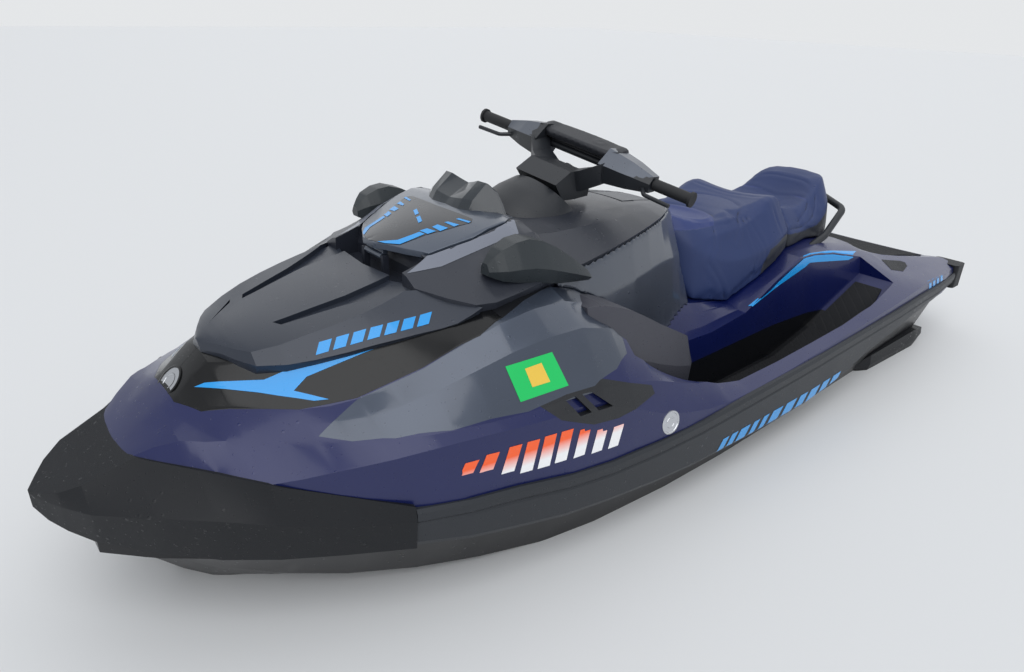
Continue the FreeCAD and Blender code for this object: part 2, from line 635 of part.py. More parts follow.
def steered(shape):
    """Turn a piece drawn straight ahead to where the bar rests."""
    copy = shape.copy()
    copy.rotate(bar_centre, steer_axis, size("steer_rest"))
    return copy


# Fairing: distance down the steering axis, radius
spigot = size("spigot_radius")
FAIRING = [(-330, 168), (-290, 160), (-235, 142), (-184, 116)]
rings = [Part.Wire(Part.makeCircle(radius, along_steer(down), steer_axis)) for down, radius in FAIRING]
fairing = Part.makeLoft(rings, True, True)
column = fairing.fuse(rod(along_steer(-190), along_steer(-50), spigot))
column = column.cut([console, lid_room, nodes["leg_shroud"].Shape, box(-200, 130, -200, 200, 500, 900),
                      box(130, 700, -320, 320, 400, 650)])
form("steering_column", column.cut(nodes["front_lid"].Shape))

hollow = rod(along_steer(-186), along_steer(-50 + fit), spigot + fit)
bar_half, bar_tube = size("bar_wide") / 2, size("bar_tube")
grip_r, grip_l = size("grip_radius"), size("grip_long")
bx, bz = bar_centre.x, bar_centre.z
# Sections across the bar, from the bar's centre: y, then (x, z) corners
YOKE = [(204, -36), (152, -93), (96, -100), (24, -102), (24, -58), (64, -18), (140, -8)]
PRONG = [(34, (142, -24), (112, -88), (26, -80), (48, -26)), (86, (118, -4), (84, -72), (14, -56), (34, -4)),
         (132, (80, 26), (64, -40), (-6, -38), (-10, 34))]
SHROUD_END = [(116, (76, 22), (60, -36), (-20, -42), (-52, -10), (-34, 52), (26, 60)),
              (200, (56, 14), (44, -30), (-16, -34), (-40, -10), (-28, 38), (20, 44)),
              (268, (28, 4), (24, -22), (-10, -24), (-24, -14), (-20, 20), (12, 24))]


def across(y, corners):
    return plate_loop(y, [(bx + x, bz + z) for x, z in corners])


yoke = loft([across(-74, YOKE), across(74, YOKE)])
arms = []
for name, side in SIDES:
    arms.append(loft([across(side * y, corners) for y, *corners in PRONG]))
    arms.append(loft([across(side * y, corners) for y, *corners in SHROUD_END]))
cross = rod(bar_centre + Vector(-14, -125, 6), bar_centre + Vector(-14, 125, 6), 17)
bar = rod(bar_centre + Vector(0, -bar_half + 4, 0), bar_centre + Vector(0, bar_half - 4, 0), bar_tube)
handlebar = yoke.fuse(arms + [cross, bar]).cut(hollow)
# Pad: y, then (x, z) corners, a long facet between two short ones
PAD_LOW, PAD_HIGH = 26, 46
PAD = [(-146, (18, 30), (26, 56), (-34, 60), (-46, 34)), (-104, (34, PAD_LOW), (42, PAD_HIGH), (-50, 54),
                                                          (-62, 32)),
       (104, (34, PAD_LOW), (42, PAD_HIGH), (-50, 54), (-62, 32)), (146, (18, 30), (26, 56), (-34, 60),
                                                                    (-46, 34))]
pad = loft([across(y, corners) for y, *corners in PAD])
form("handlebar", steered(handlebar.cut(pad)))
form("bar_pad", steered(pad))
for name, side in SIDES:
    outer = bar_centre + Vector(0, side * bar_half, 0)
    inner = outer - Vector(0, side * grip_l, 0)
    grip = rod(inner, outer, grip_r).fuse(rod(outer - Vector(0, side * 8, 0), outer, grip_r + 5))
    form("grip_" + name, steered(grip.cut(handlebar)))
    knuckle = bar_centre + Vector(20, side * 240, -12)
    lever = tube([knuckle, knuckle + Vector(38, side * 34, -6), knuckle + Vector(40, side * 118, -8)], 6, 18)
    form("lever_" + name, steered(lever.cut(handlebar)))

# ------------------------------------------------------------------ jet drive
AFT = Vector(-1, 0, 0)
pump_end = jet_x - size("pump_long")
venturi_end = pump_end - size("venturi_long")
mouth = size("venturi_mouth")
throat, stator_room, flange_thick = bore - 20, 150, 16
hub_r, shaft_r, vane_count = size("hub_radius"), size("shaft_radius"), int(size("vane_count"))


def on_axis(start, end, radius):
    """Round bar on the jet's axis between two places along the craft."""
    return rod(Vector(start, 0, jet_z), Vector(end, 0, jet_z), radius)


housing = primitive("Cylinder", "pump_outer", Vector(jet_x, 0, jet_z), AFT,
                    Radius="Sizes.pump_bore + Sizes.pump_wall", Height="Sizes.pump_long")
housing_room = primitive("Cylinder", "pump_room", Vector(jet_x, 0, jet_z), AFT,
                         Radius="Sizes.pump_bore", Height="Sizes.pump_long - 20")
venturi = primitive("Cone", "venturi_outer", Vector(pump_end, 0, jet_z), AFT,
                    Radius1="Sizes.pump_bore + Sizes.pump_wall",
                    Radius2="Sizes.venturi_mouth + Sizes.pump_wall", Height="Sizes.venturi_long")
venturi_core = primitive("Cone", "venturi_core", Vector(pump_end, 0, jet_z), AFT,
                         Radius1="Sizes.pump_bore - 20",
                         Radius2="Sizes.venturi_mouth", Height="Sizes.venturi_long")
casing = boolean("Cut", "pump_casing", boolean("MultiFuse", "pump_body", housing, venturi),
                 boolean("MultiFuse", "pump_hollow", housing_room, venturi_core))
doc.recompute()
flange = on_axis(jet_x, jet_x - flange_thick, tunnel_half - 0.5).cut(on_axis(jet_x + 1, jet_x - 40, bore))
stator_hub = on_axis(jet_x - 110, pump_end, hub_r)
bearing = on_axis(jet_x - 112, jet_x - 20, shaft_r)
vanes = []
for i in range(vane_count):
    vane = box(jet_x - 149, jet_x - 112, -3, 3, hub_r - 4, bore + 2)
    vane.rotate(Vector(), X_AXIS, 360 / vane_count * i)
    vanes.append(moved(vane, z=jet_z))
pump = casing.Shape.cut(on_axis(jet_x - stator_room + 1, pump_end - 1, throat)).fuse([flange, stator_hub,
                                                                                      bearing] + vanes)
# Pivot pins: upright ones for the nozzle, level ones for the bucket
pivot_r = size("pivot_pin")
nozzle_x = venturi_end - 20
nozzle_r, nozzle_w = size("nozzle_radius"), size("nozzle_wall")
fork_z = nozzle_r + nozzle_w
forks = []
for turn in (0, 180):
    fork = box(nozzle_x - 14, venturi_end + 60, -12, 12, fork_z + 7, fork_z + 14)
    root = box(venturi_end + 34, venturi_end + 60, -12, 12, mouth + 4, fork_z + 14)
    pivot = rod(Vector(nozzle_x, 0, fork_z - 4), Vector(nozzle_x, 0, fork_z + 10), pivot_r)
    arm = fork.fuse([root, pivot])
    arm.rotate(Vector(), X_AXIS, turn)
    forks.append(moved(arm, z=jet_z))
bucket_pivot_x = venturi_end + 46
bucket_r, bucket_w = size("bucket_radius"), size("bucket_wall")
level_pins = [rod(Vector(bucket_pivot_x, side * (mouth + 6), jet_z),
                  Vector(bucket_pivot_x, side * (bucket_r + bucket_w), jet_z), pivot_r) for name,
              side in SIDES]
form("jet_pump", pump.fuse(forks + level_pins).cut(venturi_core.Shape))

nozzle_front, nozzle_long, nozzle_mouth = Vector(nozzle_x + 20, 0,
                                                 jet_z), size("nozzle_long"), size("nozzle_mouth")
nozzle = Part.makeCone(nozzle_r + nozzle_w, nozzle_mouth + nozzle_w, nozzle_long, nozzle_front, AFT)
ears = [rod(Vector(nozzle_x, 0, jet_z + s * (nozzle_r - 1)), Vector(nozzle_x, 0, jet_z + s * (fork_z + 1)),
            14)
        for s in (1, -1)]
nozzle = nozzle.fuse(ears).cut([Part.makeCone(nozzle_r, nozzle_mouth, nozzle_long, nozzle_front, AFT),
                                rod(Vector(nozzle_x, 0, jet_z - 200), Vector(nozzle_x, 0, jet_z + 200),
                                    pivot_r + fit)])
nozzle.rotate(Vector(nozzle_x, 0, jet_z), Z_AXIS, -size("steer_rest") * size("nozzle_ratio"))
form("steering_nozzle", nozzle)

# Reverse bucket, drawn down over the jet and then swung up to its rest
bucket_swing, bucket_long = size("bucket_swing"), size("bucket_long")
cup = rod(Vector(bucket_pivot_x + 20, 0, 0), Vector(bucket_pivot_x - bucket_long - 8, 0, 0),
          bucket_r + bucket_w)
cup = cup.cut([rod(Vector(bucket_pivot_x + 21, 0, 0), Vector(bucket_pivot_x - bucket_long, 0, 0), bucket_r),
               box(bucket_pivot_x - 200, bucket_pivot_x - 100, -70, 70, -200, -60)])
# Open front: above, clear of the transom when swung up; below, clear of the nozzle
TRIM_TOP = [(30, 30), (-14, 30), (-100, 40), (-120, 200), (30, 200)]
TRIM_FOOT = [(30, -30), (-14, -30), (-70, -34), (-178, -78), (-186, -200), (30, -200)]
TRIM_FRONT = [(14, -40), (14, 40), (30, 40), (30, -40)]
for outline in (TRIM_TOP, TRIM_FOOT, TRIM_FRONT):
    cut_side = Part.Face(plate_loop(-200, [(bucket_pivot_x + x, z) for x, z in outline]))
    cup = cup.cut(cut_side.extrude(Vector(0, 400, 0)))
cup = cup.cut(rod(Vector(bucket_pivot_x, -200, 0), Vector(bucket_pivot_x, 200, 0), pivot_r + fit))
cup.rotate(Vector(bucket_pivot_x, 0, 0), Y_AXIS, bucket_swing)
form("reverse_bucket", moved(cup, z=jet_z))

# Impeller: hub on the bearing shaft with raked blades
hub_l, blade_t, blade_count = size("impeller_long"), size("blade_thick"), int(size("blade_count"))
hub_x = jet_x - 14
hub_nose, tip_gap = 18, 4
blade_tip = bore - 12
# Blade: height off the axis, front (x, y), rear (x, y), both from the hub's front
BLADE = [(14, -8, -26, 2 - hub_l, 26), (blade_tip, -4, -44, 6 - hub_l, 36)]
blades = []
for i in range(blade_count):
    rings = []
    for height, front_x, front_y, rear_x, rear_y in BLADE:
        corners = [Vector(hub_x + front_x, front_y, height), Vector(hub_x + front_x - blade_t, front_y,
                                                                    height),
                   Vector(hub_x + rear_x, rear_y, height), Vector(hub_x + rear_x + blade_t, rear_y, height)]
        rings.append(Part.makePolygon(corners + corners[:1]))
    blade = loft(rings)
    blade.rotate(Vector(), X_AXIS, 360 / blade_count * i)
    blades.append(blade)
hub = Part.makeCone(hub_nose, hub_r, hub_l, Vector(hub_x, 0, 0), AFT)
swept = rod(Vector(hub_x + 10, 0, 0), Vector(hub_x - hub_l, 0, 0), bore - tip_gap)
shaft_hole = rod(Vector(hub_x + 20, 0, 0), Vector(hub_x - 200, 0, 0), shaft_r + fit)
form("impeller", moved(hub.fuse(blades).common(swept).cut(shaft_hole), z=jet_z))

# ------------------------------------------------------------------ intake grate, ride plate and sponsons
grate_w, GRATE_LOW, GRATE_HIGH = size("grate_bar"), -216, -204
grate_front, grate_rear = jet_x + 470, jet_x + 62
bars = [box(grate_rear, grate_front, y - grate_w / 2, y + grate_w / 2, GRATE_LOW, GRATE_HIGH) for y in (-51,
                                                                                                        -17,
                                                                                                        17,
                                                                                                        51)]
ends = [box(grate_rear, grate_rear + 14, 1 - bore, bore - 1, GRATE_LOW, GRATE_HIGH),
        box(grate_front - 30, grate_front, 1 - bore, bore - 1, GRATE_LOW, GRATE_HIGH)]
form("intake_grate", bars[0].fuse(bars[1:] + ends).common(duct))
plate_long, plate_half = jet_x - TRANSOM + 60, 104
plate = primitive("Box", "ride_plate_blank", Vector(TRANSOM - 60, -plate_half, -199),
                  Length="%g mm" % plate_long, Width="%g mm" % (2 * plate_half),
                  Height="Sizes.ride_plate_thick")
doc.recompute()
form("ride_plate", plate.Shape.cut(hull))
# Sponson: x, low_z, high_z, depth
SPONSON = [(-880, 10, 24, 4), (-960, -14, 66, 40), (-1340, -22, 78, 48), (-1440, 0, 56, 34)]
for name, side in SIDES:
    fin = loft([side_loop(x, side, [(480, low), (510 + d, low), (520 + d, 0.5 * (low + high)), (516 + d,
                                                                                                high), (480,
                                                                                                        high)])
                for x, low, high, d in SPONSON])
    form("sponson_" + name, fin.cut(hull))
form("deck", deck)
form("hull", hull)

# ------------------------------------------------------------------ check and write
doc.recompute()
failed = [obj.Label for obj in doc.Objects if "Invalid" in obj.State or "Error" in obj.State]
if failed:
    raise RuntimeError("failed objects: " + ", ".join(failed))
for label, obj in nodes.items():
    if obj.Shape.isNull() or not obj.Shape.isValid() or not obj.Shape.Solids:
        raise RuntimeError("bad shape: " + label)
os.makedirs("parts", exist_ok=True)
for label, obj in sorted(nodes.items()):
    obj.Shape.exportStep("parts/%s.step" % label)
    print(label, len(obj.Shape.Solids), "solids", round(obj.Shape.Volume / 1e6, 3), "litres")
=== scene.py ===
import bpy
import json
import math
from mathutils import Matrix, Vector, kdtree

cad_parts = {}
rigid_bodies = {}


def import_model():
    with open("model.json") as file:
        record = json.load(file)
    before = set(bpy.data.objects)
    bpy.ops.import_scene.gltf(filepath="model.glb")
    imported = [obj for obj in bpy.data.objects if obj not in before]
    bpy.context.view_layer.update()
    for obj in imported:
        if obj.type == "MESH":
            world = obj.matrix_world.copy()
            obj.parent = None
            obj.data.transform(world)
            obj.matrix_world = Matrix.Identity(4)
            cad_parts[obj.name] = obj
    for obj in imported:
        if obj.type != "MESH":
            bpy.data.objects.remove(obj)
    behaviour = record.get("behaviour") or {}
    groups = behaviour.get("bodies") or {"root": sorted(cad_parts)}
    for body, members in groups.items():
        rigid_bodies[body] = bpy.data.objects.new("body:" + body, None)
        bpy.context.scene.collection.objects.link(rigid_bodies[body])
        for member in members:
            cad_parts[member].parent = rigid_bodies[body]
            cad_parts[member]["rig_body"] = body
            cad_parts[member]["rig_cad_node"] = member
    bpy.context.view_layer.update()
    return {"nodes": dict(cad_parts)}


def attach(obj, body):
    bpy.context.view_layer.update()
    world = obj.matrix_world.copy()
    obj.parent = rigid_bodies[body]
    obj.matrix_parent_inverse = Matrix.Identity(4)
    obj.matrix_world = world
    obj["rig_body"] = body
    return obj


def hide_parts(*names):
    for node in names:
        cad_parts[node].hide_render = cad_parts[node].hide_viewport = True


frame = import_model()

# ---------------------------------------------------------------- view and studio
# The craft lies in calm water, so the pale floor is at its waterline. The viewer stands off the
# port bow and looks down on it; two wide suns and a pale world light it evenly.
scene = bpy.context.scene
scene.view_settings.view_transform = "Standard"
view_place = Vector((1.755, 1.546, 1.281))
view_heading, view_drop, view_roll = math.radians(-130.84), math.radians(25.06), math.radians(1.79)
view_lens = 25.2


def srgb(red, green, blue):
    """Linear colour of a paint chip read as 8-bit values."""
    tones = [value / 255 for value in (red, green, blue)]
    return tuple(t / 12.92 if t < 0.04045 else ((t + 0.055) / 1.055) ** 2.4 for t in tones) + (1,)


bpy.ops.object.camera_add(location=view_place)
camera = bpy.context.object
ahead = Vector((math.cos(view_heading) * math.cos(view_drop),
                math.sin(view_heading) * math.cos(view_drop), -math.sin(view_drop)))
level = Vector((math.sin(view_heading), -math.cos(view_heading), 0))
lifted = level.cross(ahead)
right = level * math.cos(view_roll) + lifted * math.sin(view_roll)
upward = lifted * math.cos(view_roll) - level * math.sin(view_roll)
facing = Matrix((right, upward, -ahead)).transposed().to_4x4()
camera.matrix_world = Matrix.Translation(view_place) @ facing
camera.data.sensor_width = 36
camera.data.lens = view_lens
scene.camera = camera

world = bpy.data.worlds.new("pale room")
scene.world = world
world.use_nodes = True
nodes, links = world.node_tree.nodes, world.node_tree.links
room = nodes["Background"]
room.inputs["Color"].default_value = (0.88, 0.91, 0.95, 1)
room.inputs["Strength"].default_value = 0.62
backdrop = nodes.new("ShaderNodeBackground")
backdrop.inputs["Color"].default_value = (0.78, 0.795, 0.81, 1)
seen = nodes.new("ShaderNodeLightPath")
pick = nodes.new("ShaderNodeMixShader")
links.new(seen.outputs["Is Camera Ray"], pick.inputs["Fac"])
links.new(room.outputs["Background"], pick.inputs[1])
links.new(backdrop.outputs["Background"], pick.inputs[2])
links.new(pick.outputs["Shader"], nodes["World Output"].inputs["Surface"])

# Even daylight from two wide suns: place, strength, spread in degrees
SUNS = (((2.2, 3.0, 4.6), 1.5, 70), ((-3.0, -2.4, 4.0), 0.6, 90))
for place, power, spread in SUNS:
    bpy.ops.object.light_add(type="SUN", location=place)
    lamp = bpy.context.object
    lamp.data.energy = power
    lamp.data.angle = math.radians(spread)
    lamp.rotation_euler = (-Vector(place)).to_track_quat("-Z", "Y").to_euler()

bpy.ops.mesh.primitive_plane_add(size=60, location=(0, 0, 0))
floor = bpy.context.object
floor.name = "floor"
paper = bpy.data.materials.new("pale floor")
paper.use_nodes = True
paper_shader = paper.node_tree.nodes["Principled BSDF"]
paper_shader.inputs["Base Color"].default_value = (0.70, 0.71, 0.72, 1)
paper_shader.inputs["Roughness"].default_value = 0.6
floor.data.materials.append(paper)


# ---------------------------------------------------------------- hull and deck
# Two shells of gelcoated glass fibre, bonded under the rub rail. The deck is metallic navy under a
# clear coat, the hull near-black, and both carry beads of water.
def start_group(name, inputs, outputs):
    """A shader group with named sockets; inputs are (name, kind, value), outputs (name, kind)."""
    group = bpy.data.node_groups.new(name, "ShaderNodeTree")
    for label, kind, value in inputs:
        socket = group.interface.new_socket(label, in_out="INPUT", socket_type="NodeSocket" + kind)
        socket.default_value = value
    for label, kind in outputs:
        group.interface.new_socket(label, in_out="OUTPUT", socket_type="NodeSocket" + kind)
    entry, leave = group.nodes.new("NodeGroupInput"), group.nodes.new("NodeGroupOutput")
    return group, entry, leave


def add_math(tree, operation, first, second=None, clamp=False):
    """A Math node whose inputs are sockets or numbers."""
    node = tree.nodes.new("ShaderNodeMath")
    node.operation = operation
    node.use_clamp = clamp
    for socket, value in zip(node.inputs, (first, second)):
        if isinstance(value, bpy.types.NodeSocket):
            tree.links.new(value, socket)
        elif value is not None:
            socket.default_value = value
    return node.outputs[0]


# Moulded grain: a fine pebble height and a slow drift that breaks up colour and gloss
grain_group, entry, leave = start_group("Moulded grain", [("Scale", "Float", 900.0)],
                                        [("Height", "Float"), ("Drift", "Float")])
place = grain_group.nodes.new("ShaderNodeTexCoord")
pebble = grain_group.nodes.new("ShaderNodeTexVoronoi")
pebble.feature = "SMOOTH_F1"
slow = grain_group.nodes.new("ShaderNodeTexNoise")
slow.inputs["Scale"].default_value = 7
slow.inputs["Detail"].default_value = 5
grain_group.links.new(place.outputs["Object"], pebble.inputs["Vector"])
grain_group.links.new(place.outputs["Object"], slow.inputs["Vector"])
grain_group.links.new(entry.outputs["Scale"], pebble.inputs["Scale"])
grain_group.links.new(pebble.outputs["Distance"], leave.inputs["Height"])
grain_group.links.new(slow.outputs["Fac"], leave.inputs["Drift"])

# Water beads: rounded drops of two sizes, on some of the cells only: scale factor, largest radius
bead_group, entry, leave = start_group("Water beads",
                                       [("Scale", "Float", 60.0), ("Cover", "Float", 0.25)],
                                       [("Height", "Float"), ("Mask", "Float")])
place = bead_group.nodes.new("ShaderNodeTexCoord")
heights = []
for factor, reach in ((1.0, 0.26), (2.3, 0.30)):
    cell = bead_group.nodes.new("ShaderNodeTexVoronoi")
    bead_group.links.new(place.outputs["Object"], cell.inputs["Vector"])
    bead_group.links.new(add_math(bead_group, "MULTIPLY", entry.outputs["Scale"], factor),
                         cell.inputs["Scale"])
    split = bead_group.nodes.new("ShaderNodeSeparateColor")
    bead_group.links.new(cell.outputs["Color"], split.inputs["Color"])
    chosen = add_math(bead_group, "LESS_THAN", split.outputs["Red"], entry.outputs["Cover"])
    edge = add_math(bead_group, "MULTIPLY", split.outputs["Green"], reach)
    dome = add_math(bead_group, "SUBTRACT", edge, cell.outputs["Distance"], clamp=True)
    rounded = add_math(bead_group, "POWER", dome, 0.5)
    heights.append(add_math(bead_group, "MULTIPLY", rounded, chosen))
total = add_math(bead_group, "MAXIMUM", *heights)
bead_group.links.new(total, leave.inputs["Height"])
bead_group.links.new(add_math(bead_group, "GREATER_THAN", total, 0.02), leave.inputs["Mask"])

GRAIN_HEIGHT, BEAD_HEIGHT = 0.0006, 0.002
# How far the roughness swings over a surface as its gloss drifts
GLOSS_SWING = 0.14


def new_node(tree, kind, **values):
    """A shader node with constants set on its sockets."""
    node = tree.nodes.new(kind)
    for label, value in values.items():
        node.inputs[label].default_value = value
    return node


def new_mix(tree, **values):
    """A Mix node for colours."""
    node = tree.nodes.new("ShaderNodeMix")
    node.data_type = "RGBA"
    for label, value in values.items():
        node.inputs[label].default_value = value
    return node


def finish(name, colour, roughness, metallic=0.0, coat=0.0, coat_roughness=0.12, grain=0.0,
           grain_scale=900, beads=0.25, drift=0.10, specular=0.5):
    """A moulded or painted finish: colour that drifts a little, grain, and beads of water."""
    material = bpy.data.materials.new(name)
    material.use_nodes = True
    tree = material.node_tree
    shader = tree.nodes["Principled BSDF"]
    shader.inputs["Metallic"].default_value = metallic
    shader.inputs["Coat Weight"].default_value = coat
    shader.inputs["Coat Roughness"].default_value = coat_roughness
    shader.inputs["Specular IOR Level"].default_value = specular
    texture = tree.nodes.new("ShaderNodeGroup")
    texture.node_tree = grain_group
    texture.inputs["Scale"].default_value = grain_scale
    drops = tree.nodes.new("ShaderNodeGroup")
    drops.node_tree = bead_group
    drops.inputs["Cover"].default_value = beads
    tint = new_mix(tree, A=[c * (1 - drift) for c in colour[:3]] + [1],
                   B=[c * (1 + drift) for c in colour[:3]] + [1])
    tree.links.new(texture.outputs["Drift"], tint.inputs["Factor"])
    tree.links.new(tint.outputs["Result"], shader.inputs["Base Color"])
    dry = add_math(tree, "MULTIPLY_ADD", texture.outputs["Drift"], GLOSS_SWING)
    dry.node.inputs[2].default_value = roughness - GLOSS_SWING / 2
    wet = add_math(tree, "MULTIPLY", add_math(tree, "SUBTRACT", 1.0, drops.outputs["Mask"]), dry)
    tree.links.new(wet, shader.inputs["Roughness"])
    pebbles = new_node(tree, "ShaderNodeBump", Strength=grain, Distance=GRAIN_HEIGHT)
    tree.links.new(texture.outputs["Height"], pebbles.inputs["Height"])
    domes = new_node(tree, "ShaderNodeBump", Strength=0.5, Distance=BEAD_HEIGHT)
    tree.links.new(drops.outputs["Height"], domes.inputs["Height"])
    tree.links.new(pebbles.outputs["Normal"], domes.inputs["Normal"])
    tree.links.new(domes.outputs["Normal"], shader.inputs["Normal"])
    return material


def select_only(piece):
    bpy.ops.object.select_all(action="DESELECT")
    piece.select_set(True)
    bpy.context.view_layer.objects.active = piece


def apply(piece, kind, **settings):
    """Give the active piece one modifier with these settings, and apply it."""
    modifier = piece.modifiers.new(kind.lower(), kind)
    for label, value in settings.items():
        setattr(modifier, label, value)
    bpy.ops.object.modifier_apply(modifier=modifier.name)


def work_copy(node, name):
    """A copy of a CAD piece, selected, with its seams closed and none of the frame's marks."""
    source = frame["nodes"][node]
    piece = source.copy()
    piece.data = source.data.copy()
    piece.name = name
    scene.collection.objects.link(piece)
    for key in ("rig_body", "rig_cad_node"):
        if key in piece:
            del piece[key]
    select_only(piece)
    bpy.ops.object.mode_set(mode="EDIT")
    bpy.ops.mesh.select_all(action="SELECT")
    bpy.ops.mesh.customdata_custom_splitnormals_clear()
    bpy.ops.mesh.remove_doubles(threshold=0.00005)
    bpy.ops.object.mode_set(mode="OBJECT")
    return piece


def body_of(node):
    return frame["nodes"][node]["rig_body"]


def skin(node, material, round_edge=0.003, turn=14, flow=6, remould=0.0):
    """The moulded skin of a CAD piece: the same shape with its seams closed and its edges eased.

    Turn is the least angle in degrees of an edge that is eased, and flow is how much more than
    that still shades as one surface. A piece of long soft curves is remoulded: meshed again in
    even squares and smoothed.
    """
    piece = work_copy(node, node + "_skin")
    bpy.ops.object.mode_set(mode="EDIT")
    bpy.ops.mesh.normals_make_consistent(inside=False)
    bpy.ops.object.mode_set(mode="OBJECT")
    bpy.ops.object.shade_smooth_by_angle(angle=math.radians(turn))
    if remould:
        apply(piece, "REMESH", mode="VOXEL", voxel_size=remould)
        apply(piece, "SMOOTH", iterations=5, factor=0.5)
        bpy.ops.object.shade_smooth()
    elif round_edge:
        apply(piece, "BEVEL", width=round_edge, segments=2, limit_method="ANGLE",
              angle_limit=math.radians(turn), use_clamp_overlap=True)
        bpy.ops.object.shade_smooth_by_angle(angle=math.radians(turn + flow))
    piece.data.materials.clear()
    piece.data.materials.append(material)
    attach(piece, body_of(node))
    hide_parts(node)
    return piece


navy = finish("navy metallic gelcoat", srgb(10, 22, 78), 0.34, metallic=0.12, coat=0.4, grain=0.02)
# The black hull gelcoat also serves as painted shade in the gap round the hood
hull_and_gap_shade_black = finish("black hull gelcoat and gap shade", srgb(10, 12, 17), 0.42, coat=0.25, grain=0.02, beads=0.1,
                    specular=0.3)
deck_skin = skin("deck", navy)
skin("hull", hull_and_gap_shade_black)


def paint_faces(piece, material, chosen):
    """Give a second finish to the faces whose centre and normal pass a test."""
    piece.data.materials.append(material)
    slot = len(piece.data.materials) - 1
    for face in piece.data.polygons:
        if chosen(face.center, face.normal):
            face.material_index = slot


def on_stem(place, normal):
    """The steep faces under the bow bumper, which reach higher towards its tip."""
    top = 0.42 if place.x > 1.5 else 0.28 if place.x > 1.3 else 0.15
    return place.x > 0.9 and place.z < top and normal.z < 0.3


def in_hood_gap_shade(place, normal):
    """The deck faces in the gap left open between the hood, the console and each fender, painted black as
    painted shade.
    """
    return 0.58 < place.x < 0.96 and 0.2 < abs(place.y) < 0.43 and place.z > 0.575


paint_faces(deck_skin, hull_and_gap_shade_black, on_stem)
# Painted shade: the deck faces deep in the hood gap take the black hull finish to stand for the shadow
# there
paint_faces(deck_skin, hull_and_gap_shade_black, in_hood_gap_shade)


# ---------------------------------------------------------------- livery films
# Cut vinyl films on the gelcoat: a cyan stripe along each side of the seat, slanted marks on the
# stern quarters, and blank registration bars that fade from orange to white. All are pressed down.
SIDES = (("port", 1), ("starboard", -1))


def film_finish(name, colour, fade_to=None, span=(0, 1), roughness=0.24):
    """Gloss vinyl, one colour or fading to a second over a span of heights."""
    material = finish(name, colour, roughness, coat=0.4, coat_roughness=0.08, grain=0.05,
                      grain_scale=500, beads=0.12, drift=0.03)
    if fade_to:
        tree = material.node_tree
        shader = tree.nodes["Principled BSDF"]
        place = tree.nodes.new("ShaderNodeTexCoord")
        split = tree.nodes.new("ShaderNodeSeparateXYZ")
        fade = tree.nodes.new("ShaderNodeMapRange")
        fade.inputs["From Min"].default_value, fade.inputs["From Max"].default_value = span
        blend = new_mix(tree, A=fade_to, B=colour)
        tree.links.new(place.outputs["Object"], split.inputs["Vector"])
        tree.links.new(split.outputs["Z"], fade.inputs["Value"])
        tree.links.new(fade.outputs["Result"], blend.inputs["Factor"])
        tree.links.new(blend.outputs["Result"], shader.inputs["Base Color"])
    return material


def press_film(name, outlines, material, onto, side=1, proud=0.0008, cuts=7):
    """Flat shapes cut to outlines in millimetres, then pressed onto a skin at their nearest place.

    Side is 1 for port and -1 for starboard, and proud is how far the film stands off the skin.
    """
    points = [(x / 1000, side * y / 1000, z / 1000) for outline in outlines for x, y, z in outline]
    faces, first = [], 0
    for outline in outlines:
        faces.append(tuple(range(first, first + len(outline))))
        first += len(outline)
    sheet = bpy.data.meshes.new(name)
    sheet.from_pydata(points, [], faces)
    piece = bpy.data.objects.new(name, sheet)
    scene.collection.objects.link(piece)
    select_only(piece)
    bpy.ops.object.mode_set(mode="EDIT")
    bpy.ops.mesh.select_all(action="SELECT")
    bpy.ops.mesh.quads_convert_to_tris(ngon_method="BEAUTY")
    bpy.ops.mesh.beautify_fill()
    bpy.ops.mesh.subdivide(number_cuts=cuts)
    bpy.ops.object.mode_set(mode="OBJECT")
    apply(piece, "SHRINKWRAP", target=onto, wrap_method="NEAREST_SURFACEPOINT",
          wrap_mode="ABOVE_SURFACE", offset=proud)
    facing = 0
    for face in piece.data.polygons:
        outward = onto.closest_point_on_mesh(face.center)[2]
        facing += face.normal.dot(outward) * face.area
    if facing < 0:
        bpy.ops.object.mode_set(mode="EDIT")
        bpy.ops.mesh.select_all(action="SELECT")
        bpy.ops.mesh.flip_normals()
        bpy.ops.object.mode_set(mode="OBJECT")
    bpy.ops.object.shade_smooth_by_angle(angle=math.radians(25))
    piece.data.materials.append(material)
    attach(piece, onto["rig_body"])
    return piece


cyan_film = film_finish("cyan film", srgb(24, 150, 226))
fade_film = film_finish("orange to white film", srgb(250, 96, 36), fade_to=srgb(242, 243, 245),
                        span=(0.322, 0.356))
# Stripe beside the seat, from its thin front end to its wide rear end: x, y, z
STRIPE = [(-431, 299, 317), (-440, 309, 318), (-771, 309, 399), (-796, 310, 410),
          (-1014, 357, 391), (-1097, 345, 407), (-810, 295, 440), (-770, 297, 440),
          (-653, 304, 394), (-555, 305, 352)]
# Blank registration bars: x at the foot, x at the top, height of the foot, height of the top
REGISTRATION = [(1010, 992, 352, 378), (960, 940, 344, 382), (905, 880, 322, 383),
                (856, 832, 308, 381), (808, 784, 304, 380), (760, 736, 303, 377),
                (706, 682, 298, 364), (650, 626, 290, 352), (596, 572, 284, 342)]
BAR_WIDE = 34
# Slanted marks on the stern quarter, each a pair of uprights: x of the foot, x of the top
STERN_MARKS = [(-1300, -1290), (-1345, -1335), (-1390, -1380), (-1435, -1425)]
MARK_WIDE = 26
for tag, side in SIDES:
    press_film("seat_stripe_" + tag, [STRIPE], cyan_film, deck_skin, side, proud=0.0018, cuts=11)
    bars = [[(foot, 560, low), (foot - BAR_WIDE, 560, low - 2), (top - BAR_WIDE, 552, high - 2),
             (top, 552, high)] for foot, top, low, high in REGISTRATION]
    press_film("registration_bars_" + tag, bars, fade_film, deck_skin, side)
    marks = [[(foot, 575, 272), (foot - MARK_WIDE, 575, 273), (top - MARK_WIDE, 566, 297),
              (top, 566, 296)] for foot, top in STERN_MARKS]
    press_film("stern_marks_" + tag, marks, cyan_film, deck_skin, side)
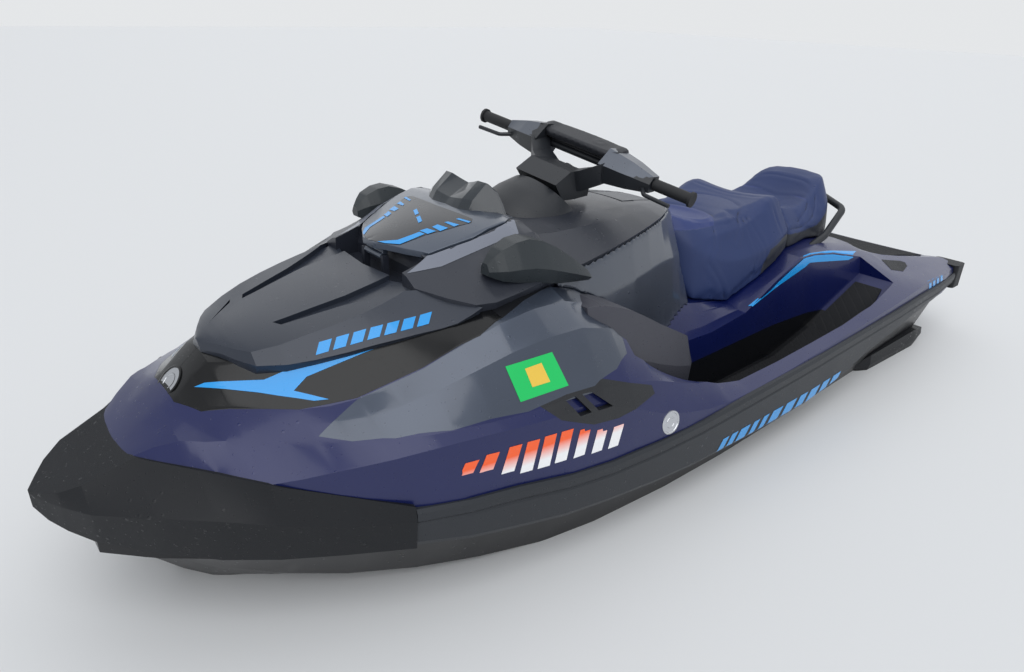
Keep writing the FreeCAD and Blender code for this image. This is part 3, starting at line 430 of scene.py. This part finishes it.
# ---------------------------------------------------------------- bow bumper, rub rails and stern corners
# Soft black bumper moulding screwed round the bow, with an extruded rail down each side, a corner
# block at each end of the transom and a sponson under each quarter. Grained matt plastic.
bumper_rubber = finish("bumper rubber", srgb(23, 25, 29), 0.50, grain=0.45, grain_scale=1300,
                       beads=0.5, specular=0.3)
rail_rubber = finish("rail rubber", srgb(44, 47, 52), 0.46, grain=0.3, grain_scale=1300,
                     beads=0.3, specular=0.35)
skin("bow_bumper", bumper_rubber, round_edge=0.005)
rails = {}
for tag in ("port", "starboard"):
    rails[tag] = skin("rail_" + tag, rail_rubber)
    skin("stern_corner_" + tag, bumper_rubber, round_edge=0.006)
    skin("sponson_" + tag, bumper_rubber)

# Slanted cyan dashes on each rail: x of the front foot, x of the rear foot
DASHES = [(150, 120), (105, 75), (60, 12), (-8, -38), (-60, -90), (-112, -168), (-190, -250),
          (-272, -318), (-338, -398), (-420, -470), (-492, -548)]
DASH_SLANT = 22
for tag, side in SIDES:
    dashes = [[(front, 614, 104), (rear, 614, 104), (rear - DASH_SLANT, 614, 146),
               (front - DASH_SLANT, 614, 146)] for front, rear in DASHES]
    press_film("rail_dashes_" + tag, dashes, cyan_film, rails[tag], side)

# ---------------------------------------------------------------- fenders, inlets, vent panels and hood
# Clip-on body panels over the bow: metallic graphite fenders, a satin charcoal hood, gloss black
# vent panels with cyan blades, and the inlet panels with their slots.
graphite = finish("graphite metallic", srgb(64, 73, 89), 0.34, metallic=0.5, coat=1.0, grain=0.02,
                  beads=0.2)
charcoal = finish("charcoal moulding", srgb(42, 48, 60), 0.38, metallic=0.25, coat=0.35,
                  coat_roughness=0.2, grain=0.10, grain_scale=1500, beads=0.2)
gloss_black = finish("gloss black panel", srgb(9, 10, 12), 0.24, coat=0.25, grain=0.02, beads=0.2,
                     specular=0.3)
inlet_black = finish("inlet black", srgb(30, 32, 36), 0.45, grain=0.3, grain_scale=1500)
hood_skin = skin("hood", charcoal)
vents, fenders = {}, {}
for tag in ("port", "starboard"):
    fenders[tag] = skin("fender_" + tag, graphite)
    skin("inlet_panel_" + tag, inlet_black, round_edge=0.002)
    vents[tag] = skin("vent_panel_" + tag, gloss_black)

# Cyan blade round the front of each vent, from the nose to its rear tip: x, y, z
VENT_BLADE = [(1391, 83, 507), (1372, 94, 516), (1272, 174, 525), (1229, 198, 550),
              (1187, 216, 549), (1051, 280, 588), (1046, 278, 581), (1198, 226, 531),
              (1231, 229, 509), (1177, 283, 494), (1204, 267, 492), (1260, 217, 501),
              (1291, 187, 506)]
# Slanted blank bars along the hood's flank, between a lower and an upper line: x, y, z
FLANK_LOW, FLANK_HIGH = ((1171, 223, 574), (923, 309, 616)), ((1163, 209, 595), (908, 287, 632))
FLANK_BARS, BAR_SHARE, BAR_SLANT = 7, 0.105, 0.03


def along(line, t):
    """A place part of the way along a line between two places."""
    return tuple(start + (end - start) * t for start, end in zip(*line))


# Blank silver badge with a black rim on the nose, and a chrome boss on each side of the deck
def press_badge(name, place, radius, onto, rim, face):
    """A round badge with a raised rim, set square on the skin at its nearest place."""
    bpy.ops.object.select_all(action="DESELECT")
    bpy.ops.mesh.primitive_circle_add(vertices=64, radius=radius, fill_type="NGON")
    piece = bpy.context.object
    piece.name = name
    bpy.ops.object.mode_set(mode="EDIT")
    bpy.ops.mesh.select_all(action="SELECT")
    bpy.ops.mesh.extrude_region_move(TRANSFORM_OT_translate={"value": (0, 0, 0.004)})
    # From the edge inwards: how far each step goes in, and how far it rises
    steps = ((0.0016, 0.0008), (0.0036, 0.0), (0.0012, -0.0016), (radius * 0.32, 0.0),
             (0.0008, 0.0008), (0.0024, 0.0), (0.0008, -0.0008))
    for inward, lift in steps:
        bpy.ops.mesh.inset(thickness=inward, depth=lift)
    bpy.ops.mesh.select_all(action="SELECT")
    bpy.ops.mesh.normals_make_consistent(inside=False)
    bpy.ops.object.mode_set(mode="OBJECT")
    piece.data.materials.append(rim)
    piece.data.materials.append(face)
    for polygon in piece.data.polygons:
        out = Vector(polygon.center[:2]).length
        on_rim = out > radius - 0.0072 or radius * 0.50 < out < radius * 0.64
        is_disc = len(polygon.vertices) > 8
        polygon.material_index = 0 if on_rim and not is_disc else 1
    nearest = onto.closest_point_on_mesh(Vector(place) / 1000)
    turn = nearest[2].to_track_quat("Z", "Y").to_matrix().to_4x4()
    piece.data.transform(Matrix.Translation(nearest[1] - nearest[2] * 0.002) @ turn)
    select_only(piece)
    bpy.ops.object.shade_smooth_by_angle(angle=math.radians(30))
    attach(piece, onto["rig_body"])
    return piece


chrome = finish("satin chrome", srgb(206, 208, 212), 0.22, metallic=1.0, grain=0.04, beads=0.0)
press_badge("nose_badge", (1421, 0, 495), 0.040, vents["port"], gloss_black, chrome)
decal_green = film_finish("green film", srgb(10, 196, 96))
decal_yellow = film_finish("yellow film", srgb(236, 196, 74))
# Blank green patch with a yellow square, on the port fender only: x, y, z
press_film("tax_sticker", [[(837, 464, 542), (712, 482, 548), (693, 524, 472), (824, 505, 465)]],
           decal_green, fenders["port"], proud=0.0010)
press_film("tax_sticker_square",
           [[(792, 478, 528), (747, 485, 532), (738, 508, 490), (786, 500, 488)]],
           decal_yellow, fenders["port"], proud=0.0016)
for tag, side in SIDES:
    press_film("vent_blade_" + tag, [VENT_BLADE], cyan_film, vents[tag], side)
    bars = []
    for bar in range(FLANK_BARS):
        start, end = bar / FLANK_BARS, bar / FLANK_BARS + BAR_SHARE
        bars.append([along(FLANK_LOW, start), along(FLANK_LOW, end),
                     along(FLANK_HIGH, end + BAR_SLANT), along(FLANK_HIGH, start + BAR_SLANT)])
    press_film("hood_bars_" + tag, bars, cyan_film, hood_skin, side)
    press_badge("chrome_boss_" + tag, (372, side * 596, 285), 0.033, deck_skin, chrome, chrome)
# ---------------------------------------------------------------- console, leg shroud and front lid
# Satin charcoal console, a painted grey lid on the front bin with a smoked windshield behind it,
# and a leg shroud of painted grey that runs back under the bars. All are injection moulded.
console_grey = finish("console charcoal", srgb(42, 46, 56), 0.42, metallic=0.2, coat=0.25,
                      coat_roughness=0.25, grain=0.12, grain_scale=1500, beads=0.15)
shroud_grey = finish("shroud metallic", srgb(70, 77, 90), 0.36, metallic=0.5, coat=0.9, grain=0.02,
                     beads=0.12)
lid_grey = finish("lid metallic", srgb(70, 79, 94), 0.34, metallic=0.45, coat=0.9, grain=0.02,
                  beads=0.2)
console_skin = skin("console", console_grey)
skin("leg_shroud", shroud_grey, remould=0.006)
lid_skin = skin("front_lid", lid_grey)
skin("glove_lid", console_grey)

# Facets of lighter paint down the console's shoulders, and the lid's dark insert with its cyan
# bars, all masked off and sprayed: x, y, z
FACET = [(905, 176, 690), (828, 160, 722), (735, 190, 757), (641, 209, 782), (604, 206, 777),
         (624, 250, 757), (641, 254, 755), (735, 240, 735), (828, 210, 702)]
INSERT = [(907, 0, 729), (899, 33, 730), (889, 54, 729), (865, 86, 730), (801, 103, 749),
          (776, 116, 755), (749, 130, 762), (723, 141, 769), (697, 153, 774), (684, 140, 779),
          (690, 70, 784), (694, 0, 786)]
LID_BARS = [[(898, 33, 730), (860, 67, 736), (805, 81, 750), (801, 99, 749), (865, 85, 730),
             (889, 54, 729)],
            [(802, 77, 752), (784, 84, 756), (776, 112, 755), (796, 105, 749)],
            [(772, 89, 760), (757, 91, 764), (749, 126, 762), (769, 121, 756)],
            [(740, 97, 768), (732, 102, 769), (723, 137, 769), (736, 134, 765)],
            [(712, 108, 775), (705, 111, 776), (696, 149, 775), (703, 150, 773)]]
facet_grey = film_finish("facet metallic", srgb(112, 117, 130), roughness=0.34)
insert_grey = film_finish("insert grey", srgb(42, 44, 49), roughness=0.26)
for tag, side in SIDES:
    press_film("shoulder_facet_" + tag, [FACET], facet_grey, console_skin, side)
    press_film("lid_insert_" + tag, [INSERT], insert_grey, lid_skin, side)
    press_film("lid_bars_" + tag, LID_BARS, cyan_film, lid_skin, side, proud=0.0016)
DASH_STEP = (22, 46)
lid_dashes = []
for dash in range(2):
    aft, across = dash * DASH_STEP[0], dash * DASH_STEP[1]
    lid_dashes.append([(784 - aft, 44 - across, 765), (772 - aft, 44 - across, 765),
                       (757 - aft, 12 - across, 768), (769 - aft, 12 - across, 768)])
press_film("lid_dashes", lid_dashes, cyan_film, lid_skin, proud=0.0016)

smoke = bpy.data.materials.new("smoked acrylic")
smoke.use_nodes = True
smoke_shader = smoke.node_tree.nodes["Principled BSDF"]
smoke_shader.inputs["Base Color"].default_value = srgb(40, 47, 54)
smoke_shader.inputs["Roughness"].default_value = 0.16
smoke_shader.inputs["Transmission Weight"].default_value = 0.2
smoke_shader.inputs["IOR"].default_value = 1.49
smoke_shader.inputs["Coat Weight"].default_value = 0.5
drops = smoke.node_tree.nodes.new("ShaderNodeGroup")
drops.node_tree = bead_group
drops.inputs["Cover"].default_value = 0.15
domes = new_node(smoke.node_tree, "ShaderNodeBump", Strength=0.5, Distance=BEAD_HEIGHT)
smoke.node_tree.links.new(drops.outputs["Height"], domes.inputs["Height"])
smoke.node_tree.links.new(domes.outputs["Normal"], smoke_shader.inputs["Normal"])
skin("windshield", smoke, round_edge=0.0015)

# Screen: a dark glass front, switched off
screen_glass = finish("screen glass", srgb(12, 15, 20), 0.12, coat=1.0, grain=0.0, beads=0.05)
skin("display", screen_glass, round_edge=0.002)

# ---------------------------------------------------------------- mirrors and knee pods
# Mirror housings of grained dark plastic, and full knee pods of a lighter grained plastic, all
# screwed to the body's flanks.
mirror_plastic = finish("mirror plastic", srgb(40, 46, 50), 0.40, grain=0.25, grain_scale=1500,
                        beads=0.25)
pod_plastic = finish("pod plastic", srgb(62, 63, 72), 0.50, grain=0.4, grain_scale=1300, beads=0.12)
for tag in ("port", "starboard"):
    skin("mirror_" + tag, mirror_plastic, round_edge=0.004, turn=22, flow=10)
    skin("knee_pod_" + tag, pod_plastic, round_edge=0.006)

# ---------------------------------------------------------------- steering
# A fixed column carries the turning bar: a moulded shroud over a steel tube with grey caps on its
# upper facets, rubber grips and two levers.
bar_black = finish("bar moulding", srgb(34, 37, 42), 0.42, grain=0.2, grain_scale=1500, beads=0.1)
grip_rubber = finish("grip rubber", srgb(28, 29, 32), 0.62, grain=0.5, grain_scale=700, beads=0.05)
skin("steering_column", bar_black)
bar_skin = skin("handlebar", bar_black)
cap_grey = finish("bar cap grey", srgb(78, 84, 95), 0.36, metallic=0.4, coat=0.4, grain=0.08,
                  beads=0.15)
CAP_FACING = Vector((0.62, 0, 0.78))


def on_cap(place, normal):
    """The bar's upper facets, outboard of its middle."""
    return abs(place.y) > 0.125 and normal.dot(CAP_FACING) > 0.55 and place.z > 0.84


paint_faces(bar_skin, cap_grey, on_cap)
for tag in ("port", "starboard"):
    skin("grip_" + tag, grip_rubber, round_edge=0.002)
    skin("lever_" + tag, bar_black, round_edge=0.002)

# ---------------------------------------------------------------- mats, anchors and stern
# Closed-cell foam mats glued to the footwells and the boarding platform, with grooves cut in a
# slant, and two moulded cups that take cargo.
mat_foam = finish("mat foam", srgb(30, 31, 34), 0.78, grain=0.6, grain_scale=600, beads=0.0,
                  specular=0.3)
tree = mat_foam.node_tree
place = tree.nodes.new("ShaderNodeTexCoord")
slant = tree.nodes.new("ShaderNodeMapping")
slant.inputs["Rotation"].default_value = (0, 0, math.radians(38))
groove = tree.nodes.new("ShaderNodeTexWave")
groove.wave_profile = "SAW"
groove.inputs["Scale"].default_value = 11
cut = tree.nodes.new("ShaderNodeMapRange")
cut.inputs["From Min"].default_value, cut.inputs["From Max"].default_value = 0.02, 0.22
channels = new_node(tree, "ShaderNodeBump", Strength=0.9, Distance=0.003)
tree.links.new(place.outputs["Object"], slant.inputs["Vector"])
tree.links.new(slant.outputs["Vector"], groove.inputs["Vector"])
tree.links.new(groove.outputs["Fac"], cut.inputs["Value"])
tree.links.new(cut.outputs["Result"], channels.inputs["Height"])
first_bump = next(node for node in tree.nodes
                  if node.type == "BUMP" and not node.inputs["Normal"].is_linked)
tree.links.new(channels.outputs["Normal"], first_bump.inputs["Normal"])
for tag in ("port", "starboard"):
    skin("foot_mat_" + tag, mat_foam, round_edge=0.001)
skin("rear_mat", mat_foam, round_edge=0.001)
# Dark moulded recess on each stern quarter, round the towing latch: x, y, z
LATCH_PANEL = [(-1200, 408, 369), (-1326, 434, 347), (-1346, 448, 339), (-1322, 468, 333),
               (-1240, 486, 330), (-1170, 466, 344)]
for tag, side in SIDES:
    press_film("latch_panel_" + tag, [LATCH_PANEL], bumper_rubber, deck_skin, side)
skin("cargo_anchors", bumper_rubber, round_edge=0.001)
skin("grab_handle", bar_black, round_edge=0.003)

# ---------------------------------------------------------------- jet drive and engine
# Cast alloy pump housing, steering nozzle and ride plate under the stern, with a steel impeller
# and intake grate and a black reverse bucket. The engine block inside is not seen.
cast_alloy = finish("cast alloy", srgb(132, 136, 142), 0.42, metallic=0.9, grain=0.35,
                    grain_scale=1200, beads=0.0)
bright_steel = finish("bright steel", srgb(176, 178, 182), 0.25, metallic=1.0, grain=0.05,
                      beads=0.0)
for node in ("jet_pump", "steering_nozzle", "ride_plate", "engine"):
    skin(node, cast_alloy, round_edge=0.0015)
skin("impeller", bright_steel, round_edge=0.0)
skin("intake_grate", bright_steel, round_edge=0.001)
skin("reverse_bucket", bar_black, round_edge=0.002)
# ---------------------------------------------------------------- seats
# Firm moulded foam under stretched marine vinyl, stapled round the foot. Sewn seams draw the vinyl
# in between the saddle, its horseshoe bolster and the side panels; the low rear panel is charcoal.
THREAD_COLOUR = srgb(20, 28, 50)


def seat_vinyl(name, main, insert, low):
    """Grained vinyl whose three panels take their colour from the piece's own panel attribute."""
    material = finish(name, main, 0.50, coat=0.06, coat_roughness=0.4, grain=0.5, grain_scale=620,
                      beads=0.03, specular=0.4)
    tree = material.node_tree
    shader = tree.nodes["Principled BSDF"]
    drift = next(node for node in tree.nodes if node.type == "MIX")
    panels = tree.nodes.new("ShaderNodeAttribute")
    panels.attribute_name = "panels"
    split = tree.nodes.new("ShaderNodeSeparateColor")
    tree.links.new(panels.outputs["Color"], split.inputs["Color"])
    base = drift.outputs["Result"]
    for channel, colour in (("Red", insert), ("Green", low), ("Blue", THREAD_COLOUR)):
        layer = new_mix(tree, B=colour)
        tree.links.new(base, layer.inputs["A"])
        tree.links.new(split.outputs[channel], layer.inputs["Factor"])
        base = layer.outputs["Result"]
    tree.links.new(base, shader.inputs["Base Color"])
    return material


def line_points(seam):
    """Points every few millimetres along a smooth line through a seam's places, in metres."""
    places = [Vector(place) / 1000 for place in seam]
    places = [2 * places[0] - places[1]] + places + [2 * places[-1] - places[-2]]
    points = []
    for before, start, end, after in zip(places, places[1:], places[2:], places[3:]):
        steps = max(2, int((end - start).length / 0.004))
        for step in range(steps):
            t = step / steps
            slope, bend = end - before, 2 * before - 5 * start + 4 * end - after
            points.append(0.5 * (2 * start + slope * t + bend * t * t
                                 + (3 * start - before - 3 * end + after) * t ** 3))
    return points + [places[-2]]


def inside(outline, u, v):
    """Whether a flat outline holds a place, by counting the edges to one side of it."""
    hit = False
    for (u0, v0), (u1, v1) in zip(outline, outline[1:] + outline[:1]):
        if (v0 > v) != (v1 > v) and u < u0 + (v - v0) / (v1 - v0) * (u1 - u0):
            hit = not hit
    return hit


# Sizes of a sewn seam in metres: half width of its groove, the lip beside it, and its thread
GROOVE_WIDE, LIP_HIGH, LIP_OUT, LIP_WIDE, THREAD_WIDE = 0.0052, 0.0012, 0.016, 0.010, 0.0022
# The foam stands fuller away from a seam, by this much and over this reach, above this height
PLUMP_HIGH, PLUMP_REACH, PLUMP_FOOT, PLUMP_FADE = 0.009, 0.030, 0.54, 0.06
CLOTH_FRAMES = 16
# The insert ends at the cushion's shoulder, at this height
INSERT_FOOT = 0.59


def upholster(node, name, seams, insert, low, material, bolster=None, voxel=0.007, cap=0.007,
              depth=0.0035):
    """A CAD cushion made soft: blown up under its cover, then drawn in along its seams.

    Cap is the most that the cover swells, and depth how deep the seams are.
    """
    piece = work_copy(node, name)
    piece.data.materials.clear()
    piece.data.materials.append(material)
    apply(piece, "REMESH", mode="VOXEL", voxel_size=voxel)
    apply(piece, "SMOOTH", iterations=6, factor=0.5)
    rest = [vertex.co.copy() for vertex in piece.data.vertices]
    cover = piece.modifiers.new("cover", "CLOTH")
    cover.settings.use_pressure = True
    cover.settings.uniform_pressure_force = 4
    cover.settings.effector_weights.gravity = 0
    cover.settings.tension_stiffness = 60
    cover.settings.bending_stiffness = 20
    for step in range(1, CLOTH_FRAMES + 1):
        scene.frame_set(step)
    bpy.ops.object.modifier_apply(modifier=cover.name)
    scene.frame_set(1)
    apply(piece, "SMOOTH", iterations=14, factor=0.5)
    for vertex, start in zip(piece.data.vertices, rest):
        swell = vertex.co - start
        if swell.length > cap:
            swell *= cap / swell.length
        vertex.co = start + swell
    apply(piece, "SUBSURF")
    sewn = [point for seam in seams for point in line_points(seam)]
    lines = kdtree.KDTree(len(sewn))
    for point in sewn:
        lines.insert(point, 0)
    lines.balance()
    bpy.ops.object.shade_smooth()
    panels = piece.data.color_attributes.new("panels", "FLOAT_COLOR", "POINT")
    normals = [Vector(normal.vector) for normal in piece.data.vertex_normals]
    for vertex, normal in zip(piece.data.vertices, normals):
        x, y, z = vertex.co
        reach = lines.find((x, abs(y), z))[2]
        groove = depth * math.exp(-(reach / GROOVE_WIDE) ** 2)
        lip = LIP_HIGH * math.exp(-((reach - LIP_OUT) / LIP_WIDE) ** 2)
        draw = groove - lip
        clear = 1 - math.exp(-(reach / PLUMP_REACH) ** 2)
        plump = clear * min(1, max(0, (z - PLUMP_FOOT) / PLUMP_FADE))
        in_insert = z > INSERT_FOOT and inside(insert, x * 1000, abs(y) * 1000)
        in_low = abs(y) > 0.1 and inside(low, x * 1000, z * 1000)
        if bolster and in_insert:
            draw += PLUMP_HIGH * plump
        elif bolster and inside(bolster, x * 1000, abs(y) * 1000):
            draw -= PLUMP_HIGH * plump
        thread = math.exp(-(reach / THREAD_WIDE) ** 4)
        panels.data[vertex.index].color = (float(in_insert), float(in_low), thread, 1)
        vertex.co -= normal * draw
    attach(piece, body_of(node))
    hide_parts(node)
    return piece


vinyl = seat_vinyl("seat vinyl", srgb(38, 54, 98), srgb(46, 60, 112), srgb(44, 47, 54))
# Seams, from the middle outwards and down: x, y, z
SADDLE_SEAM = [(-452, 0, 600), (-440, 60, 603), (-405, 118, 610), (-366, 150, 604),
               (-350, 168, 570), (-338, 185, 524), (-300, 193, 482), (-316, 201, 452),
               (-352, 216, 401), (-390, 231, 328)]
BOLSTER_SEAM = [(-604, 0, 618), (-590, 60, 620), (-548, 124, 620), (-492, 160, 606),
                (-474, 182, 572), (-440, 196, 530)]
SIDE_SEAM = [(-500, 176, 600), (-518, 215, 521), (-524, 238, 449), (-514, 243, 374),
             (-500, 247, 318)]
REAR_SEAM = [(-522, 182, 596), (-561, 226, 516), (-584, 243, 454), (-578, 246, 400),
             (-560, 250, 345)]
BACK_SEAM = [(-650, 0, 628), (-652, 80, 634), (-646, 150, 640), (-656, 190, 618),
             (-668, 216, 568), (-684, 230, 520)]
LOW_SEAM = [(-604, 238, 482), (-650, 240, 500), (-700, 236, 508), (-765, 226, 512)]
DISH_SEAM = [(-1010, 0, 572), (-1016, 60, 580), (-1010, 110, 588), (-985, 160, 578),
             (-940, 176, 552), (-880, 190, 530)]
RIM_SEAM = [(-1085, 0, 640), (-1082, 60, 640), (-1072, 100, 632), (-1040, 160, 592),
            (-992, 190, 539), (-902, 203, 512), (-800, 212, 516)]
# Panels seen from on top: x, y; and low panels seen from the side: x, z
SADDLE_PANEL = [(-452, -5), (-440, 60), (-405, 118), (-366, 150), (-340, 240), (-100, 240),
                (-100, -5)]
HORSESHOE = [(-452, -5), (-440, 60), (-405, 118), (-366, 150), (-330, 210), (-470, 215),
             (-492, 160), (-548, 124), (-590, 60), (-604, -5)]
DISH_PANEL = [(-1010, -5), (-1016, 60), (-1010, 110), (-985, 160), (-780, 175), (-780, -5)]
LOW_PANEL = [(-560, 300), (-580, 400), (-588, 454), (-604, 482), (-690, 508), (-790, 514),
             (-790, 400), (-700, 330)]
REAR_LOW_PANEL = [(-770, 500), (-900, 492), (-1000, 500), (-1100, 540), (-1230, 600),
                  (-1230, 420), (-770, 420)]
upholster("driver_seat", "driver_cushion",
          [SADDLE_SEAM, BOLSTER_SEAM, SIDE_SEAM, REAR_SEAM, BACK_SEAM, LOW_SEAM],
          SADDLE_PANEL, LOW_PANEL, vinyl, bolster=HORSESHOE)
upholster("passenger_seat", "passenger_cushion", [DISH_SEAM, RIM_SEAM], DISH_PANEL,
          REAR_LOW_PANEL, vinyl)

# Charcoal handrest pad on the bar's centre: foam like the seats, of one colour and with no seams
PAD_COLOUR = srgb(34, 36, 42)
NO_SEAM, NO_PANEL = [(150, 60, 900), (150, 61, 901)], [(0, 0), (1, 0), (1, 1)]
upholster("bar_pad", "bar_cushion", [NO_SEAM], NO_PANEL, NO_PANEL,
          seat_vinyl("pad vinyl", PAD_COLOUR, PAD_COLOUR, PAD_COLOUR), voxel=0.004, cap=0.003,
          depth=0)
